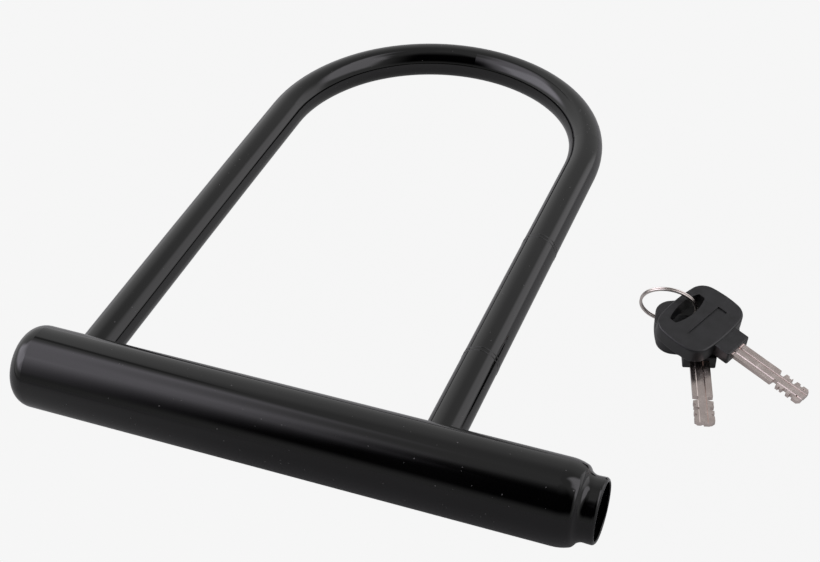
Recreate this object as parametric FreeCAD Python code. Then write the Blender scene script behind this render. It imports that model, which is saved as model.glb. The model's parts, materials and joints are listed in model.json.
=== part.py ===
import FreeCAD, Part
import math
import os

V = FreeCAD.Vector

# A bicycle U lock lying flat, with its two keys beside it on a split ring. Millimetres.
# Origin: on the crossbar's axis, midway between the shackle's legs. +X runs along the
# crossbar to the keyed end, +Y from the crossbar to the bend, +Z up.

# ---- driving dimensions -----------------------------------------------------------------
INNER_WIDTH = 114.5        # clear width between the coated legs
COAT_R = 6.8               # shackle leg, outside its vinyl coat
ROD_R = 5.75               # bare steel of the shackle
APEX_Y = 244.9             # crossbar axis to the rod's centre at the top of the bend
LEAN = (15727.0, 0.51)     # radius and turn of the left leg's slight lean inwards
# arcs of the bend from left to right: radius, turn in degrees. The second ends at the top,
# and together they span the distance between the legs.
BEND_ARCS = [(70.307, 33.27), (61.571, 56.22), (64.188, 74.929), (71.35, 15.071)]
BAR_R = 14.5               # crossbar, outside its vinyl sleeve
TUBE_R = 13.45
TUBE_BORE_R = 11.0
BAR_LEFT = -85.4           # closed end of the sleeve
BAR_RIGHT = 122.7          # rim of the sleeve's neck
NECK_R = 11.0
LIP_BORE_R = 9.7
NOSE_R = 9.1               # bore of the tube's crimped nose
TUBE_LEFT = -82.6
TUBE_RIGHT = 116.5
GAP = 0.3                  # clearance between pieces that move past each other
RUNNING = 0.05             # radial clearance of a shaft in its bush

# ---- worked out from them -----------------------------------------------------------------
LEG_X = INNER_WIDTH / 2 + COAT_R
# the lock rests on its crossbar and on the top of the bend
TILT = math.degrees(math.asin((BAR_R - COAT_R) / APEX_Y))
FLOOR_Z = -BAR_R

# ---- moulded marks on the right leg: two pairs of fine beads ----------------------------
MARK_PLACES = (54.3, 123.8)
MARK_SPACING = 1.8
MARK_BEAD_R = 0.45
MARK_PROUD = 0.1

# ---- lock mechanism ----------------------------------------------------------------------
LOCK_BAR_R = 3.5           # turning bar that catches both leg tips
HALF_MOON = 8.0            # half length of the bar's flat at each leg
TIP_Y = -9.0               # end of each leg, past the bar
SHOULDER_Y = 4.3           # where a leg's flat begins
COAT_END_Y = 11.4
CORE_R = 7.0
DISC_R = 6.0
DISC_COUNT = 8
DISC_PITCH = 2.2
DISC_THICK = 1.5
DISC_START = 92.2
HOUSING_LEFT = 86.0
HOUSING_STEP = 108.6
HOUSING_RIGHT = 115.2

# ---- keys ----------------------------------------------------------------------------------
BLADE_LENGTH = 28.8
BLADE_HALF_WIDTH = 3.5
TANG_START = -18.0
BOW_HALF = 3.1             # half thickness of the bow
NECK_HALF = 2.7            # half thickness of the collar in front of the bow
BLADE_HALF = 1.15          # half thickness of the blade
BOW_BACK = -29.0
BOW_FRONT = -5.9
COLLAR_HALF_WIDTH = 5.9
BOW_CORNER = 6.3
PANEL_U = -14.1            # centre of the sunken blank panel on each cover
PANEL = (3.9, 17.4)
# cuts in the blade's two edges: place along the blade, floor width, depth
LEFT_CUTS = [(17.6, 1.5, 1.8), (20.7, 1.1, 0.7), (22.4, 1.0, 1.8), (25.3, 0.9, 0.8)]
RIGHT_CUTS = [(17.7, 1.5, 1.9), (20.3, 0.5, 0.6), (22.3, 1.3, 1.4), (25.1, 0.9, 1.0)]
RING_R = 10.08             # middle of the split ring's wire
WIRE_HALF = 0.5            # half the wire's radial thickness
COIL_WIDTH = 0.7           # one coil's width along the ring's axis

# where each key lies: blade root, heading, and slopes along and across the blade
KEY_A_ROOT = V(146.1, 94.9, FLOOR_Z + 9.0)
KEY_A_LIE = (-24.0, -0.15, 0.082)
KEY_B_ROOT = V(134.0, 90.3, FLOOR_Z + 3.38)
KEY_B_LIE = (-72.9, -0.075, 0.0)
RING_CENTRE = V(117.55, 109.1, FLOOR_Z + 10.5)
RING_AXIS = V(-0.094, 0.956, 0.279)

ORIGIN = V(0, 0, 0)
X_AXIS = V(1, 0, 0)


def save(node, shape):
    """Write one node and report whether its solids are sound."""
    shape.exportStep("parts/" + node + ".step")
    print(node, "solids", len(shape.Solids), "valid", shape.isValid(), round(shape.Volume, 1))


def save_lock(node, shape):
    """Nodes of the lock are drawn in the shackle's plane, then dipped to the floor."""
    dipped = shape.copy()
    dipped.rotate(ORIGIN, X_AXIS, -TILT)
    save(node, dipped)


def rod_x(radius, x0, x1, y=0.0, z=0.0):
    return Part.makeCylinder(radius, x1 - x0, V(x0, y, z), X_AXIS)


def rod_y(radius, y0, y1, x=0.0):
    return Part.makeCylinder(radius, y1 - y0, V(x, y0, 0), V(0, 1, 0))


def block(x0, x1, y0, y1, z0, z1):
    return Part.makeBox(x1 - x0, y1 - y0, z1 - z0, V(x0, y0, z0))


def line(a, b):
    return Part.LineSegment(V(*a), V(*b)).toShape()


def arc(a, b, c):
    return Part.Arc(V(*a), V(*b), V(*c)).toShape()


def swing(start, heading, radius, turn):
    """Where an arc from start ends. Radius and turn are positive clockwise; degrees."""
    a = math.radians(heading)
    b = math.radians(heading - turn)
    x = start[0] + radius * (math.sin(a) - math.sin(b))
    y = start[1] - radius * (math.cos(a) - math.cos(b))
    return (x, y, 0)


def arc_chain(start, heading, steps):
    """Arcs one after another, each tangent to the last: their edges and the end point."""
    edges = []
    for radius, turn in steps:
        middle = swing(start, heading, radius, turn / 2)
        end = swing(start, heading, radius, turn)
        edges.append(arc(start, middle, end))
        start = end
        heading -= turn
    return edges, start


def turned(edges):
    """Turn an outline drawn in the X-Y plane about the X axis."""
    face = Part.Face(Part.Wire(edges))
    return face.revolve(ORIGIN, X_AXIS, 360)


# ---- crossbar ------------------------------------------------------------------------------
def sleeve_outside():
    """Moulded vinyl: domed closed end, long barrel, rounded shoulder, waisted neck."""
    corner = 7.0
    s = math.sqrt(0.5)
    dome_x = BAR_LEFT + 0.7
    barrel_r = BAR_R - corner
    shoulder, neck = arc_chain((109.4, BAR_R, 0), 0, [(16.0, 20), (2.4, 40), (-3.17, -62)])
    return turned([
        arc((BAR_LEFT, 0, 0), (BAR_LEFT + 0.18, barrel_r / 2, 0), (dome_x, barrel_r, 0)),
        arc((dome_x, barrel_r, 0), (dome_x + corner * (1 - s), barrel_r + corner * s, 0),
            (dome_x + corner, BAR_R, 0)),
        line((dome_x + corner, BAR_R, 0), (109.4, BAR_R, 0)),
    ] + shoulder + [
        line(neck, (121.4, NECK_R, 0)),
        arc((121.4, NECK_R, 0), (122.35, NECK_R - 0.32, 0), (BAR_RIGHT, 10.15, 0)),
        arc((BAR_RIGHT, 10.15, 0), (BAR_RIGHT - 0.1, 9.85, 0), (BAR_RIGHT - 0.4, LIP_BORE_R, 0)),
        line((BAR_RIGHT - 0.4, LIP_BORE_R, 0), (BAR_RIGHT - 0.4, 0, 0)),
        line((BAR_RIGHT - 0.4, 0, 0), (BAR_LEFT, 0, 0)),
    ])


def tube_outside():
    """Steel tube, crimped to a nose at the keyed end."""
    return turned([
        line((TUBE_LEFT, 0, 0), (TUBE_LEFT, TUBE_R - 5, 0)),
        arc((TUBE_LEFT, TUBE_R - 5, 0), (TUBE_LEFT + 1.46, TUBE_R - 1.46, 0),
            (TUBE_LEFT + 5, TUBE_R, 0)),
        line((TUBE_LEFT + 5, TUBE_R, 0), (109.4, TUBE_R, 0)),
        line((109.4, TUBE_R, 0), (114.6, 11.0, 0)),
        line((114.6, 11.0, 0), (TUBE_RIGHT, 10.15, 0)),
        line((TUBE_RIGHT, 10.15, 0), (TUBE_RIGHT, 0, 0)),
        line((TUBE_RIGHT, 0, 0), (TUBE_LEFT, 0, 0)),
    ])


def leg_holes():
    """Where the coated legs enter the crossbar's far side."""
    return [rod_y(COAT_R + GAP, 0, 2 * BAR_R, side * LEG_X) for side in (-1, 1)]


def crossbar():
    outside = tube_outside()
    nub = rod_x(2.0, BAR_LEFT - 0.3, BAR_LEFT + 1.0)
    mouth = rod_x(LIP_BORE_R, TUBE_RIGHT, BAR_RIGHT + 1)
    sleeve = sleeve_outside().fuse(nub).removeSplitter()
    save_lock("crossbar_sleeve", sleeve.cut([outside, mouth] + leg_holes()))

    bore = rod_x(TUBE_BORE_R, TUBE_LEFT + 4, HOUSING_STEP)
    nose = rod_x(NOSE_R, HOUSING_STEP, TUBE_RIGHT + 1)
    lead = Part.makeCone(TUBE_BORE_R, NOSE_R, 1.9, V(HOUSING_STEP, 0, 0), X_AXIS)
    open_end = rod_x(TUBE_R - 5, TUBE_LEFT - 1, TUBE_LEFT + 5)
    pin_hole = Part.makeCylinder(1.5, 20, ORIGIN + V(97, 0, 0), V(0, -1, 0))
    cuts = [bore, nose, lead, open_end, pin_hole] + leg_holes()
    save_lock("crossbar_tube", outside.cut(cuts))

    plug = rod_x(TUBE_R - 5, TUBE_LEFT, TUBE_LEFT + 4)
    flange = rod_x(TUBE_BORE_R, TUBE_LEFT + 4, TUBE_LEFT + 5)
    dish = Part.makeSphere(20, V(TUBE_LEFT - 19.2, 0, 0))
    save_lock("end_plug", plug.fuse(flange).cut(dish).removeSplitter())


def leg_guides():
    """Nylon blocks inside the tube that line each leg up with the turning bar."""
    for name, x in (("leg_guide_left", -LEG_X), ("leg_guide_right", LEG_X)):
        guide = rod_x(TUBE_BORE_R, x - 9.5, x + 9.5)
        guide = guide.cut([
            rod_y(ROD_R + GAP, TIP_Y - 0.6, 2 * BAR_R, x),
            rod_y(COAT_R + GAP, COAT_END_Y - 1.2, 2 * BAR_R, x),
            rod_x(LOCK_BAR_R + GAP, x - 10, x + 10),
        ])
        save_lock(name, guide)


def bar_bushes():
    for name, x in (("bar_bush_left", -77.5), ("bar_bush_right", 76.5)):
        bush = rod_x(TUBE_BORE_R, x, x + 3.5)
        waist = rod_x(TUBE_BORE_R + 1, x + 1.0, x + 2.5).cut(rod_x(TUBE_BORE_R - 1.5, x, x + 3.5))
        save_lock(name, bush.cut([waist, rod_x(LOCK_BAR_R + RUNNING, x - 1, x + 5)]))


# ---- lock cylinder ---------------------------------------------------------------------------
def keyhole(x0, x1):
    return block(x0, x1, -1.35, 1.35, -3.7, 3.7)


def housing():
    body = rod_x(TUBE_BORE_R, HOUSING_LEFT, HOUSING_STEP)
    nose = rod_x(NOSE_R, HOUSING_STEP, HOUSING_RIGHT)
    cuts = [
        rod_x(CORE_R + RUNNING, HOUSING_LEFT + 3, HOUSING_RIGHT + 1),
        rod_x(5.2, HOUSING_LEFT - 1, HOUSING_LEFT + 4),
        rod_x(7.8, 113.9, 114.7),
        Part.makeCylinder(1.35, 12, V(104, 0, 0), V(0, -1, 0)),
        Part.makeCylinder(1.5, 12, V(97, -CORE_R - 1.2, 0), V(0, -1, 0)),
    ]
    save_lock("lock_housing", body.fuse(nose).removeSplitter().cut(cuts))

    pin = Part.makeCylinder(1.5, TUBE_R - 8.4, V(97, -8.3, 0), V(0, -1, 0))
    save_lock("housing_pin", pin.cut(Part.makeCylinder(0.8, 20, V(97, -8, 0), V(0, -1, 0))))

    clip = rod_x(7.8, 113.9, 114.7).cut([rod_x(6.6, 113, 116), block(113, 116, -1, 1, 0, 9)])
    save_lock("retaining_clip", clip)

    save_lock("detent_ball", Part.makeSphere(1.15, V(104, -8.6, 0)))
    save_lock("detent_spring", disc_spring(104, -10.27))


def disc_spring(x, y):
    """Two coned washers, rim to rim, that press the detent ball inwards."""
    washers = []
    for way in (-1, 1):
        inner = y + way * 0.35
        outline = Part.makePolygon([V(x + 0.4, inner, 0), V(x + 1.2, y, 0), V(x + 1.2, y + way * 0.2, 0),
                                    V(x + 0.4, inner + way * 0.2, 0), V(x + 0.4, inner, 0)])
        washers.append(Part.Face(outline).revolve(V(x, y, 0), V(0, 1, 0), 360))
    return Part.makeCompound(washers)


def core():
    """Everything that turns with the key: drum, discs, sidebar, tail and the long bar."""
    drum = rod_x(CORE_R, HOUSING_LEFT + 3.1, 110.4)
    drum = drum.cut([
        rod_x(DISC_R + 0.1, DISC_START - 0.4, 111),
        block(DISC_START - 0.4, 111, -0.95, 0.95, 0, 9),
        block(HOUSING_LEFT + 3, HOUSING_LEFT + 6, -1.5, 1.5, -3.5, 3.5),
    ])
    save_lock("core_drum", drum)

    discs = []
    spacers = []
    for i in range(DISC_COUNT):
        x = DISC_START + i * DISC_PITCH
        disc = rod_x(DISC_R, x, x + DISC_THICK)
        gate = rod_x(1.0, x - 1, x + 3, 0, DISC_R + 0.1)
        discs.append(disc.cut([keyhole(x - 1, x + 3), gate]))
        ring = rod_x(DISC_R, x + DISC_THICK + 0.1, x + DISC_PITCH - 0.1)
        spacers.append(ring.cut([rod_x(4.6, x, x + 4), gate]))
    save_lock("detainer_discs", Part.makeCompound(discs))
    save_lock("disc_spacers", Part.makeCompound(spacers))
    save_lock("sidebar", rod_x(0.85, DISC_START, 110.0, 0, DISC_R + 0.1))

    front = rod_x(CORE_R, 110.6, 113.7)
    dish = Part.makeCone(3.9, 5.2, 0.8, V(113.0, 0, 0), X_AXIS)
    save_lock("front_disc", front.cut([keyhole(110, 115), dish]))

    tail = rod_x(4.9, HOUSING_LEFT - 2.5, HOUSING_LEFT + 3.1)
    tang = block(HOUSING_LEFT + 3.1, HOUSING_LEFT + 5.6, -1.4, 1.4, -3.4, 3.4)
    socket = rod_x(LOCK_BAR_R + RUNNING, HOUSING_LEFT - 4, HOUSING_LEFT + 0.5)
    cross = Part.makeCylinder(1.0, 12, V(HOUSING_LEFT - 1.2, 0, -6), V(0, 0, 1))
    save_lock("drive_coupling", tail.fuse(tang).removeSplitter().cut([socket, cross]))
    pin = Part.makeCylinder(1.0, 9.4, V(HOUSING_LEFT - 1.2, 0, -4.7), V(0, 0, 1))
    save_lock("coupling_pin", pin)

    bar = rod_x(LOCK_BAR_R, -77.0, HOUSING_LEFT + 0.5)
    flats = [block(s * LEG_X - HALF_MOON, s * LEG_X + HALF_MOON, -5, 5, -5, 0) for s in (-1, 1)]
    save_lock("lock_bar", bar.cut(flats + [cross]))


# ---- shackle -----------------------------------------------------------------------------------
def shackle_path(y0):
    """Centre line from the left leg's end, round the bend, to the right leg's end."""
    rise = arc_chain(ORIGIN, 90, [LEAN] + BEND_ARCS[:2])[1][1]
    start = (-LEG_X, APEX_Y - rise, 0)
    bend, end = arc_chain(start, 90, [LEAN] + BEND_ARCS)
    left = line((-LEG_X, y0, 0), start)
    right = line(end, (end[0], y0, 0))
    return Part.Wire([left] + bend + [right])


def bent_rod(radius, y0):
    ring = Part.Wire([Part.makeCircle(radius, V(-LEG_X, y0, 0), V(0, 1, 0))])
    return shackle_path(y0).makePipeShell([ring], True, False)


def leg_tip_cuts(x):
    """Flat and groove that let the turning bar's half moon pass, then catch, the leg."""
    wide = 2 * ROD_R
    return [
        block(x - wide, x + wide, TIP_Y - 1, SHOULDER_Y, -GAP, wide),
        rod_x(LOCK_BAR_R + GAP, x - wide, x + wide),
    ]


def shackle():
    rod = bent_rod(ROD_R, TIP_Y)
    rod = rod.cut(leg_tip_cuts(-LEG_X) + leg_tip_cuts(LEG_X))
    save_lock("shackle_rod", rod)

    coat = bent_rod(COAT_R, COAT_END_Y)
    rings = []
    for y in MARK_PLACES:
        for step in (-MARK_SPACING / 2, MARK_SPACING / 2):
            bead = Part.makeTorus(COAT_R - MARK_BEAD_R + MARK_PROUD, MARK_BEAD_R,
                                  V(LEG_X, y + step, 0), V(0, 1, 0))
            rings.append(bead)
    coat = coat.fuse(rings)
    save_lock("shackle_coat", coat.cut(bent_rod(ROD_R, COAT_END_Y - 1)))


# ---- keys --------------------------------------------------------------------------------------
def key_placement(root, lie):
    """Blade along local X, width along local Y, faces along local Z."""
    heading = math.radians(lie[0])
    along = V(math.cos(heading), math.sin(heading), lie[1]).normalize()
    across = V(-math.sin(heading), math.cos(heading), lie[2])
    across = (across - along * along.dot(across)).normalize()
    up = along.cross(across)
    turn = FreeCAD.Rotation(along, across, up, "XYZ")
    return FreeCAD.Placement(root, turn)


def bow_blank(height):
    """Bow on z=0: four long arcs that meet in well rounded corners."""
    back_u, back_v, front_u, front_v, waist_v = -27.5, 13.6, -7.2, 13.8, 15.1
    middle = (back_u + front_u) / 2
    face = Part.Face(Part.Wire([
        arc((back_u, -back_v, 0), (BOW_BACK, 0, 0), (back_u, back_v, 0)),
        arc((back_u, back_v, 0), (middle, waist_v, 0), (front_u, front_v, 0)),
        arc((front_u, front_v, 0), (BOW_FRONT, 0, 0), (front_u, -front_v, 0)),
        arc((front_u, -front_v, 0), (middle, -waist_v, 0), (back_u, -back_v, 0)),
    ]))
    blank = face.extrude(V(0, 0, height))
    upright = [e for e in blank.Edges if e.BoundBox.ZLength > height / 2]
    return blank.makeFillet(BOW_CORNER, upright)


def collar_blank(height):
    """Collar between the bow and the blade, its front corners rounded."""
    w = COLLAR_HALF_WIDTH
    collar = block(-12, 0, -w, w, 0, height)
    front = [e for e in collar.Edges if e.BoundBox.ZLength > height / 2 and e.BoundBox.XMax > -1]
    return collar.makeFillet(0.6, front)


def soften(plate, height, edge):
    """Round a plate's upper rim."""
    rim = [e for e in plate.Edges if abs(e.BoundBox.ZMin - height) < 1e-6]
    return plate.makeFillet(edge, rim)


def ring_slot():
    """Lens-shaped hole across the bow for the split ring."""
    end = 8.3
    back_u, front_u = -24.7, -22.0
    hole = Part.Face(Part.Wire([
        arc((back_u, end, 0), (back_u - 1.6, 0, 0), (back_u, -end, 0)),
        line((back_u, -end, 0), (front_u, -end, 0)),
        arc((front_u, -end, 0), (front_u + 1.7, 0, 0), (front_u, end, 0)),
        line((front_u, end, 0), (back_u, end, 0)),
    ])).extrude(V(0, 0, 4 * BOW_HALF))
    upright = [e for e in hole.Edges if e.BoundBox.ZLength > BOW_HALF]
    return hole.makeFillet(0.7, upright)


def cover():
    """Upper half of a key's plastic head, with the tang's pocket and the blank panel."""
    head = soften(bow_blank(BOW_HALF), BOW_HALF, 0.75)
    collar = soften(collar_blank(NECK_HALF), NECK_HALF, 0.45)
    slot = ring_slot()
    slot.translate(V(0, 0, -BOW_HALF))
    half_u = PANEL[0] / 2
    half_v = PANEL[1] / 2
    panel = block(PANEL_U - half_u, PANEL_U + half_u, -half_v, half_v, BOW_HALF - 0.5, 9)
    pocket = block(TANG_START, 1, -BLADE_HALF_WIDTH, BLADE_HALF_WIDTH, -1, BLADE_HALF)
    return head.fuse(collar).removeSplitter().cut([slot, panel, pocket])


def blade_section():
    """Upper outline of the blade: raised rib, centre groove, lower wing. The back is the
    same turned half round, so the key works either way up."""
    w = BLADE_HALF_WIDTH
    t = BLADE_HALF
    upper = [(w, t - 0.35), (1.25, t - 0.35), (0.95, t - 0.7), (0.45, t - 0.7), (0.25, t),
             (-1.7, t), (-1.95, t - 0.2), (-w, t - 0.2)]
    loop = upper + [(-v, -z) for v, z in upper]
    return Part.makePolygon([V(0, v, z) for v, z in loop + loop[:1]])


def notch(u, width, depth, side):
    """One cut in the blade's edge: a flat floor between two sloping flanks."""
    w = BLADE_HALF_WIDTH
    lean = 0.22 * depth
    corners = [(u - width / 2 - lean, w + 0.2), (u - width / 2, w - depth),
               (u + width / 2, w - depth), (u + width / 2 + lean, w + 0.2)]
    loop = Part.makePolygon([V(a, side * b, -3) for a, b in corners + corners[:1]])
    return Part.Face(loop).extrude(V(0, 0, 6))


def blade():
    body = Part.Face(blade_section()).extrude(V(BLADE_LENGTH, 0, 0))
    tang = block(TANG_START, 0, -BLADE_HALF_WIDTH, BLADE_HALF_WIDTH, -BLADE_HALF, BLADE_HALF)
    cuts = [notch(u, width, depth, 1) for u, width, depth in LEFT_CUTS]
    cuts += [notch(u, width, depth, -1) for u, width, depth in RIGHT_CUTS]
    for side in (-1, 1):
        corner = Part.makePolygon([V(BLADE_LENGTH - 1.5, side * 4, -3),
                                   V(BLADE_LENGTH + 1, side * 4, -3),
                                   V(BLADE_LENGTH + 1, side * 1.6, -3),
                                   V(BLADE_LENGTH - 0.1, side * 2.5, -3),
                                   V(BLADE_LENGTH - 0.9, side * 3.5, -3),
                                   V(BLADE_LENGTH - 1.5, side * 4, -3)])
        cuts.append(Part.Face(corner).extrude(V(0, 0, 6)))
        dimple = Part.makeCylinder(0.45, 3, V(BLADE_LENGTH - 2.0, side * 2.0, BLADE_HALF - 0.5))
        cuts.append(dimple)
    return body.fuse(tang).removeSplitter().cut(cuts)


def keys():
    upper = cover()
    lower = upper.copy()
    lower.rotate(ORIGIN, X_AXIS, 180)
    metal = blade()
    for letter, root, lie, flip in (("a", KEY_A_ROOT, KEY_A_LIE, 0),
                                    ("b", KEY_B_ROOT, KEY_B_LIE, 180)):
        place = key_placement(root, lie)
        pieces = {"blade": metal, "cover_upper": upper, "cover_lower": lower}
        for name, shape in pieces.items():
            piece = shape.copy()
            if name == "blade":
                piece.rotate(ORIGIN, X_AXIS, flip)
            piece.Placement = place.multiply(piece.Placement)
            save("key_" + letter + "_" + name, piece)


def split_ring():
    """Two close coils of flattened wire."""
    coils = []
    for side in (-1, 1):
        z = side * COIL_WIDTH / 2
        r = WIRE_HALF
        h = COIL_WIDTH / 2
        outline = [
            arc((RING_R - r + h, 0, z - h), (RING_R - r, 0, z), (RING_R - r + h, 0, z + h)),
            line((RING_R - r + h, 0, z + h), (RING_R + r - h, 0, z + h)),
            arc((RING_R + r - h, 0, z + h), (RING_R + r, 0, z), (RING_R + r - h, 0, z - h)),
            line((RING_R + r - h, 0, z - h), (RING_R - r + h, 0, z - h)),
        ]
        face = Part.Face(Part.Wire(outline))
        coils.append(face.revolve(ORIGIN, V(0, 0, 1), 360))
    ring = coils[0].fuse(coils[1])
    ring.Placement = FreeCAD.Placement(RING_CENTRE, FreeCAD.Rotation(V(0, 0, 1), RING_AXIS))
    save("key_ring", ring)


os.makedirs("parts", exist_ok=True)
crossbar()
leg_guides()
bar_bushes()
housing()
core()
shackle()
keys()
split_ring()
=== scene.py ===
import json
import math

import bpy
from mathutils import Matrix, Vector

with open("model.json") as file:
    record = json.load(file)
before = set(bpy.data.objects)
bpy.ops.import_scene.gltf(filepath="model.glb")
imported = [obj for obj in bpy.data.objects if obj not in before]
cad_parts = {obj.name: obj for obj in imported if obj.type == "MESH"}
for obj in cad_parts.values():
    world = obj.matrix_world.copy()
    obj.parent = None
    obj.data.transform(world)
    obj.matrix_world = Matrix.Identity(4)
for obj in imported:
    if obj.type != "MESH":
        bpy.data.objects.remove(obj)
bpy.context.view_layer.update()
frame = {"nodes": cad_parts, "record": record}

# ---- sizes, in metres ---------------------------------------------------------------------
BAR_R = 0.0145             # crossbar outside its sleeve
COAT_R = 0.0068            # coated leg
APEX_Y = 0.2449            # crossbar axis to the rod's centre at the top of the bend
FLOOR_Z = -BAR_R
TILT = math.asin((BAR_R - COAT_R) / APEX_Y)     # the shackle dips to the floor
DIP = Matrix.Rotation(-TILT, 4, "X")            # shackle's plane to the row frame
KEY_A_HEADING = math.radians(-24.0)

# ---- viewpoint ------------------------------------------------------------------------------
EYE = Vector((0.1977, -0.3766, 0.3894))         # in the shackle's plane
VIEW_AZIMUTH = math.radians(20.33)
VIEW_ELEVATION = math.radians(38.09)
LENS_MM = 75.27


# ---- node helpers ------------------------------------------------------------------------------
class Graph:
    """Small wrapper that adds nodes to a material and links them."""

    def __init__(self, name):
        self.material = bpy.data.materials.new(name)
        self.material.use_nodes = True
        self.tree = self.material.node_tree
        self.tree.nodes.clear()
        self.out = self.tree.nodes.new("ShaderNodeOutputMaterial")

    def add(self, kind, **inputs):
        node = self.tree.nodes.new(kind)
        for key, value in inputs.items():
            self.put(node, key.replace("_", " "), value)
        return node

    def put(self, node, key, value):
        socket = node.inputs[int(key[1:])] if key[0] == "#" else node.inputs[key]
        if isinstance(value, bpy.types.NodeSocket):
            self.tree.links.new(value, socket)
        else:
            socket.default_value = value

    def coords(self, scale=(1, 1, 1), turn=0.0):
        """Object coordinates, turned about Z so that X runs along a blade, then scaled."""
        source = self.add("ShaderNodeTexCoord").outputs["Object"]
        turned = self.add("ShaderNodeVectorRotate", Vector=source, Angle=-turn)
        mapping = self.add("ShaderNodeMapping", Vector=turned.outputs[0], Scale=scale)
        return mapping.outputs[0]

    def noise(self, vector, scale, detail=3.0, rough=0.5):
        node = self.add("ShaderNodeTexNoise", Vector=vector, Scale=scale, Detail=detail,
                        Roughness=rough)
        return node.outputs["Fac"]

    def spread(self, value, low, high, to_low, to_high):
        node = self.add("ShaderNodeMapRange")
        for key, number in (("Value", value), ("From Min", low), ("From Max", high),
                            ("To Min", to_low), ("To Max", to_high)):
            self.put(node, key, number)
        return node.outputs[0]

    def math(self, operation, a, b=0.0):
        node = self.add("ShaderNodeMath")
        node.operation = operation
        self.put(node, "#0", a)
        self.put(node, "#1", b)
        return node.outputs[0]

    def blend(self, factor, a, b):
        node = self.add("ShaderNodeMix")
        node.data_type = "RGBA"
        self.put(node, "#0", factor)
        self.put(node, "#6", a)
        self.put(node, "#7", b)
        return node.outputs[2]

    def bump(self, height, distance, strength=1.0, normal=None):
        node = self.add("ShaderNodeBump", Height=height, Distance=distance, Strength=strength)
        if normal is not None:
            self.put(node, "Normal", normal)
        return node.outputs[0]

    def finish(self, shader):
        self.tree.links.new(shader.outputs[0], self.out.inputs[0])
        return self.material


def specks(graph, vector, scale, size, share):
    """White dots on black: sparse dust of uneven size, in a small share of the cells."""
    cells = graph.add("ShaderNodeTexVoronoi", Vector=vector, Scale=scale)
    pick = graph.add("ShaderNodeSeparateColor", Color=cells.outputs["Color"])
    radius = graph.math("MULTIPLY", pick.outputs[1], size)
    near = graph.math("LESS_THAN", cells.outputs["Distance"], radius)
    rare = graph.math("LESS_THAN", pick.outputs[0], share)
    return graph.math("MULTIPLY", near, rare)


def vinyl_material(name):
    """Thick black dipped vinyl: high gloss, slow ripples, hairline rubs and specks of dust."""
    g = Graph(name)
    flat = g.coords()
    peel = g.noise(flat, 300.0, 1.0)
    ripple = g.noise(flat, 45.0, 0.0)
    rubs = g.noise(g.coords((1.0, 14.0, 14.0)), 160.0, 4.0, 0.6)
    dust = specks(g, flat, 700.0, 0.19, 0.16)
    cloud = g.noise(flat, 22.0, 3.0)
    rough = g.spread(rubs, 0.4, 0.8, 0.045, 0.085)
    rough = g.math("ADD", rough, g.spread(cloud, 0.45, 0.7, 0.0, 0.02))
    rough = g.math("ADD", rough, g.math("MULTIPLY", dust, 0.4))
    tint = g.blend(g.spread(cloud, 0.35, 0.7, 0.0, 1.0), (0.0006, 0.0006, 0.0007, 1),
                   (0.0015, 0.0014, 0.0015, 1))
    colour = g.blend(dust, tint, (0.055, 0.053, 0.053, 1))
    normal = g.bump(ripple, 0.00018, 0.25)
    normal = g.bump(peel, 0.00001, 0.3, normal)
    shader = g.add("ShaderNodeBsdfPrincipled", Base_Color=colour, Roughness=rough,
                   Normal=normal, Specular_IOR_Level=0.5)
    return g.finish(shader)


def key_plastic_material():
    """Satin moulded black plastic with a fine spark-eroded grain and light scuffs."""
    g = Graph("key_plastic_look")
    flat = g.coords()
    grain = g.noise(flat, 5200.0, 2.0)
    cloud = g.noise(flat, 240.0, 4.0)
    scuff = g.noise(g.coords((1.0, 9.0, 9.0), KEY_A_HEADING), 900.0, 3.0)
    rough = g.spread(cloud, 0.3, 0.7, 0.34, 0.48)
    rough = g.math("ADD", rough, g.spread(scuff, 0.55, 0.8, 0.0, -0.08))
    colour = g.blend(g.spread(cloud, 0.35, 0.7, 0.0, 1.0), (0.006, 0.006, 0.0065, 1),
                     (0.011, 0.011, 0.012, 1))
    normal = g.bump(grain, 0.00003, 0.35)
    shader = g.add("ShaderNodeBsdfPrincipled", Base_Color=colour, Roughness=rough,
                   Normal=normal, Specular_IOR_Level=0.5)
    return g.finish(shader)


def metal_material(name, colour_a, colour_b, rough_low, rough_high, turn=0.0, stretch=20.0,
                   scale=700.0, depth=0.00001):
    """Worked metal: fine lines along one direction, cloudy tarnish, small pits."""
    g = Graph(name)
    lines = g.noise(g.coords((1.0, stretch, stretch), turn), scale, 4.0, 0.65)
    cloud = g.noise(g.coords(), 320.0, 3.0)
    pits = g.noise(g.coords(), 2600.0, 2.0)
    colour = g.blend(g.spread(cloud, 0.3, 0.7, 0.0, 1.0), colour_a, colour_b)
    rough = g.spread(lines, 0.3, 0.7, rough_low, rough_high)
    rough = g.math("ADD", rough, g.spread(cloud, 0.5, 0.75, 0.0, 0.08))
    normal = g.bump(lines, depth, 0.6)
    normal = g.bump(pits, depth, 0.3, normal)
    shader = g.add("ShaderNodeBsdfPrincipled", Base_Color=colour, Roughness=rough,
                   Normal=normal, Metallic=1.0)
    return g.finish(shader)


def nylon_material():
    g = Graph("nylon_look")
    cloud = g.noise(g.coords(), 300.0, 3.0)
    grain = g.noise(g.coords(), 4000.0, 2.0)
    colour = g.blend(cloud, (0.60, 0.59, 0.54, 1), (0.72, 0.71, 0.66, 1))
    shader = g.add("ShaderNodeBsdfPrincipled", Base_Color=colour,
                   Roughness=g.spread(cloud, 0.3, 0.7, 0.4, 0.55),
                   Normal=g.bump(grain, 0.00002, 0.3), Subsurface_Weight=0.05)
    return g.finish(shader)


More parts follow.
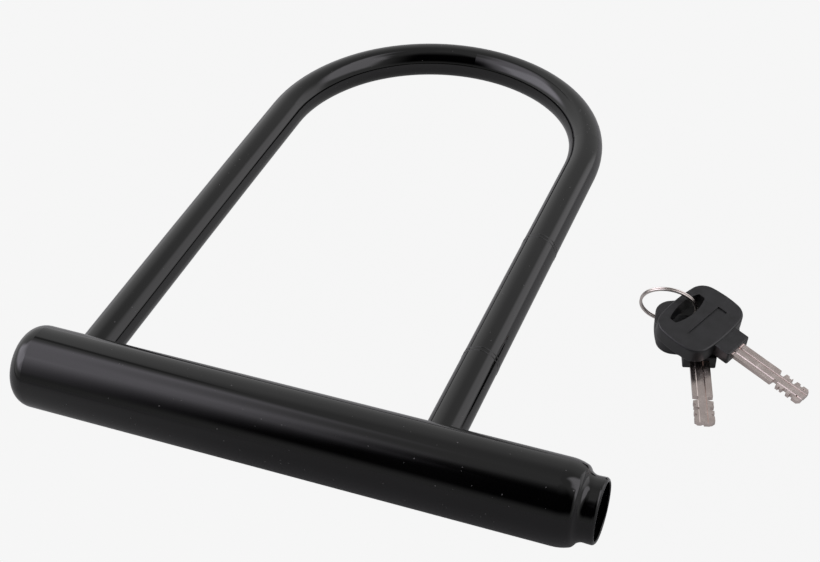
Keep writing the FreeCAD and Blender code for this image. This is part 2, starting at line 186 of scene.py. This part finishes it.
STEEL_A = (0.26, 0.26, 0.27, 1)
STEEL_B = (0.36, 0.36, 0.37, 1)
BRIGHT_A = (0.50, 0.50, 0.50, 1)
BRIGHT_B = (0.62, 0.61, 0.60, 1)
SILVER_A = (0.59, 0.505, 0.475, 1)
SILVER_B = (0.71, 0.62, 0.585, 1)
BRASS_A = (0.66, 0.47, 0.20, 1)
BRASS_B = (0.76, 0.58, 0.30, 1)

LOOKS = {
    "vinyl": vinyl_material("vinyl_look"),
    "key_plastic": key_plastic_material(),
    "nickel_silver": metal_material("blade_look", SILVER_A, SILVER_B, 0.14, 0.26,
                                    KEY_A_HEADING),
    "ring_steel": metal_material("ring_look", (0.62, 0.56, 0.53, 1), (0.78, 0.72, 0.68, 1),
                                 0.18, 0.30, 0.0, 4.0, 900.0),
    "hardened_steel": metal_material("hard_steel_look", STEEL_A, STEEL_B, 0.30, 0.45),
    "spring_steel": metal_material("spring_steel_look", BRIGHT_A, BRIGHT_B, 0.22, 0.34),
    "brass": metal_material("brass_look", BRASS_A, BRASS_B, 0.24, 0.38),
    "nylon": nylon_material(),
}


def dress(obj, material):
    obj.data.materials.clear()
    obj.data.materials.append(material)


SLOT_OF = {row["node"]: row["material_slot"] for row in frame["record"]["subparts"]}
for node, obj in frame["nodes"].items():
    dress(obj, LOOKS[SLOT_OF[node]])


# ---- floor, light and camera --------------------------------------------------------------------
def floor():
    mesh = bpy.data.meshes.new("floor")
    size = 6.0
    corners = [(-size, -size, FLOOR_Z), (size, -size, FLOOR_Z), (size, size, FLOOR_Z),
               (-size, size, FLOOR_Z)]
    mesh.from_pydata(corners, [], [(0, 1, 2, 3)])
    obj = bpy.data.objects.new("floor", mesh)
    bpy.context.scene.collection.objects.link(obj)
    g = Graph("floor_look")
    tone = g.noise(g.coords(), 3.0, 2.0)
    colour = g.blend(tone, (0.31, 0.31, 0.31, 1), (0.33, 0.33, 0.33, 1))
    # Painted light: to all but camera rays the floor glows faintly everywhere and more strongly in
    # patches around the lock, brightening its reflections and the light bouncing onto it
    place = g.add("ShaderNodeSeparateXYZ", Vector=g.coords())
    inside = g.spread(place.outputs[1], -0.01, 0.03, 0.0, 0.17)
    behind = g.spread(place.outputs[1], -0.16, -0.05, 0.0, 1.0)
    beside = g.math("MULTIPLY", behind, g.spread(place.outputs[0], -0.09, 0.0, 0.17, 0.0))
    beyond = g.math("MULTIPLY", behind, g.spread(place.outputs[0], -0.24, -0.10, 0.35, 0.0))
    painted_light_level = g.math("ADD", g.math("MAXIMUM", inside, beside), g.math("ADD", beyond, 0.04))
    diffuse = g.add("ShaderNodeBsdfDiffuse", Color=colour, Roughness=0.4)
    glow = g.add("ShaderNodeEmission", Color=(1.0, 1.0, 1.0, 1), Strength=painted_light_level)
    lit = g.add("ShaderNodeAddShader")
    g.tree.links.new(diffuse.outputs[0], lit.inputs[0])
    g.tree.links.new(glow.outputs[0], lit.inputs[1])
    pale = g.blend(tone, (0.915, 0.915, 0.915, 1), (0.927, 0.927, 0.927, 1))
    seen = g.add("ShaderNodeLightPath").outputs["Is Camera Ray"]
    mix = g.add("ShaderNodeMixShader", Fac=seen)
    g.tree.links.new(lit.outputs[0], mix.inputs[1])
    g.tree.links.new(g.add("ShaderNodeEmission", Color=pale).outputs[0], mix.inputs[2])
    dress(obj, g.finish(mix))


class Studio(Graph):
    """Surroundings drawn by direction: azimuth from +X towards +Y and rise above the horizon."""

    def __init__(self):
        world = bpy.data.worlds.new("studio")
        bpy.context.scene.world = world
        world.use_nodes = True
        self.tree = world.node_tree
        self.tree.nodes.clear()
        self.out = self.tree.nodes.new("ShaderNodeOutputWorld")
        self.way = self.add("ShaderNodeTexCoord").outputs["Generated"]
        self.rise = self.math("DEGREES", self.math("ARCSINE", self.along((0, 0, 1))))

    def along(self, axis):
        node = self.add("ShaderNodeVectorMath")
        node.operation = "DOT_PRODUCT"
        self.put(node, "#0", self.way)
        self.put(node, "#1", axis)
        return node.outputs["Value"]

    def turn(self, azimuth):
        """Degrees round from an azimuth, from -180 to 180."""
        a = math.radians(azimuth)
        ahead = self.along((math.cos(a), math.sin(a), 0))
        side = self.along((-math.sin(a), math.cos(a), 0))
        return self.math("DEGREES", self.math("ARCTAN2", side, ahead))

    def ease(self, value, low, high, to_low, to_high):
        out = self.spread(value, low, high, to_low, to_high)
        out.node.interpolation_type = "SMOOTHSTEP"
        return out

    def window(self, value, low, high):
        """1 between two soft edges, each given by where it starts and where it ends."""
        start = self.ease(value, low[0], low[1], 0.0, 1.0)
        return self.math("MULTIPLY", start, self.ease(value, high[0], high[1], 1.0, 0.0))

    def panel(self, below, across, upright, colour):
        return self.blend(self.math("MULTIPLY", across, upright), below, colour)


def room(g):
    """A pale back wall, a dark front with a lighter foot and top."""
    foot = g.ease(g.rise, 5.0, 24.0, 0.33, 0.0)
    top = g.ease(g.rise, 58.0, 92.0, 0.0, 0.42)
    front = g.math("MAXIMUM", foot, top)
    back = g.ease(g.rise, 36.0, 58.0, 0.57, 0.41)
    near_panel = g.math("MULTIPLY", g.ease(g.turn(120.0), -18.0, 14.0, 0.0, 0.25),
                        g.ease(g.rise, 42.0, 56.0, 1.0, 0.3))
    back = g.math("ADD", back, near_panel)
    round_front = g.math("ABSOLUTE", g.turn(-85.0))
    share = g.ease(round_front, 30.0, 72.0, 0.0, 1.0)
    tone = g.math("ADD", g.math("MULTIPLY", g.math("SUBTRACT", back, front), share), front)
    return g.add("ShaderNodeCombineColor", Red=tone, Green=tone, Blue=tone).outputs[0]


def surroundings():
    g = Studio()
    light = room(g)
    left = g.turn(180.0)
    near = g.math("ADD", left, g.ease(g.rise, 40.0, 52.0, -22.0, 0.0))
    far = g.math("ADD", left, g.ease(g.rise, 52.0, 70.0, 0.0, 14.0))
    across = g.math("MULTIPLY", g.ease(near, -46.0, -26.0, 0.0, 1.0),
                    g.ease(far, 42.0, 70.0, 1.0, 0.0))
    light = g.panel(light, across, g.window(g.rise, (8.0, 22.0), (62.0, 76.0)),
                    (1.85, 1.78, 1.95, 1))
    light = g.panel(light, g.window(left, (-20.0, -6.0), (35.0, 47.0)),
                    g.window(g.rise, (11.0, 26.0), (44.0, 56.0)), (3.2, 3.1, 3.4, 1))
    light = g.panel(light, g.window(left, (-52.0, -50.0), (-47.0, -45.0)),
                    g.window(g.rise, (36.0, 42.0), (54.0, 60.0)), (0.25, 0.25, 0.25, 1))
    light = g.panel(light, g.window(g.turn(42.0), (-24.0, -8.0), (14.0, 24.0)),
                    g.window(g.rise, (-4.0, 7.0), (26.0, 46.0)), (1.27, 1.25, 1.28, 1))
    right = g.turn(20.0)
    slant = g.math("SUBTRACT", right, g.math("MULTIPLY", g.rise, 1.3))
    late = g.math("ADD", right, g.ease(g.rise, 58.0, 70.0, 0.0, -16.0))
    across = g.math("MULTIPLY", g.ease(late, -46.0, -28.0, 0.0, 1.0),
                    g.ease(slant, -42.0, -22.0, 1.0, 0.0))
    light = g.panel(light, across, g.window(g.rise, (20.0, 34.0), (66.0, 76.0)),
                    (2.05, 2.0, 2.1, 1))
    seen = g.add("ShaderNodeLightPath").outputs["Is Camera Ray"]
    colour = g.blend(seen, light, (0.921, 0.921, 0.921, 1))
    glow = g.add("ShaderNodeBackground", Color=colour, Strength=1.0)
    g.tree.links.new(glow.outputs[0], g.out.inputs[0])


def camera():
    data = bpy.data.cameras.new("camera")
    data.lens = LENS_MM
    data.sensor_width = 36.0
    data.clip_start = 0.01
    obj = bpy.data.objects.new("camera", data)
    az, el = VIEW_AZIMUTH, VIEW_ELEVATION
    right = Vector((math.cos(az), math.sin(az), 0))
    back = Vector((math.sin(az) * math.cos(el), -math.cos(az) * math.cos(el), math.sin(el)))
    up = back.cross(right)
    axes = Matrix((right, up, back)).transposed().to_4x4()
    obj.matrix_world = DIP @ Matrix.Translation(EYE) @ axes
    bpy.context.scene.collection.objects.link(obj)
    bpy.context.scene.camera = obj


bpy.context.scene.view_settings.view_transform = "Standard"
floor()
surroundings()
camera()
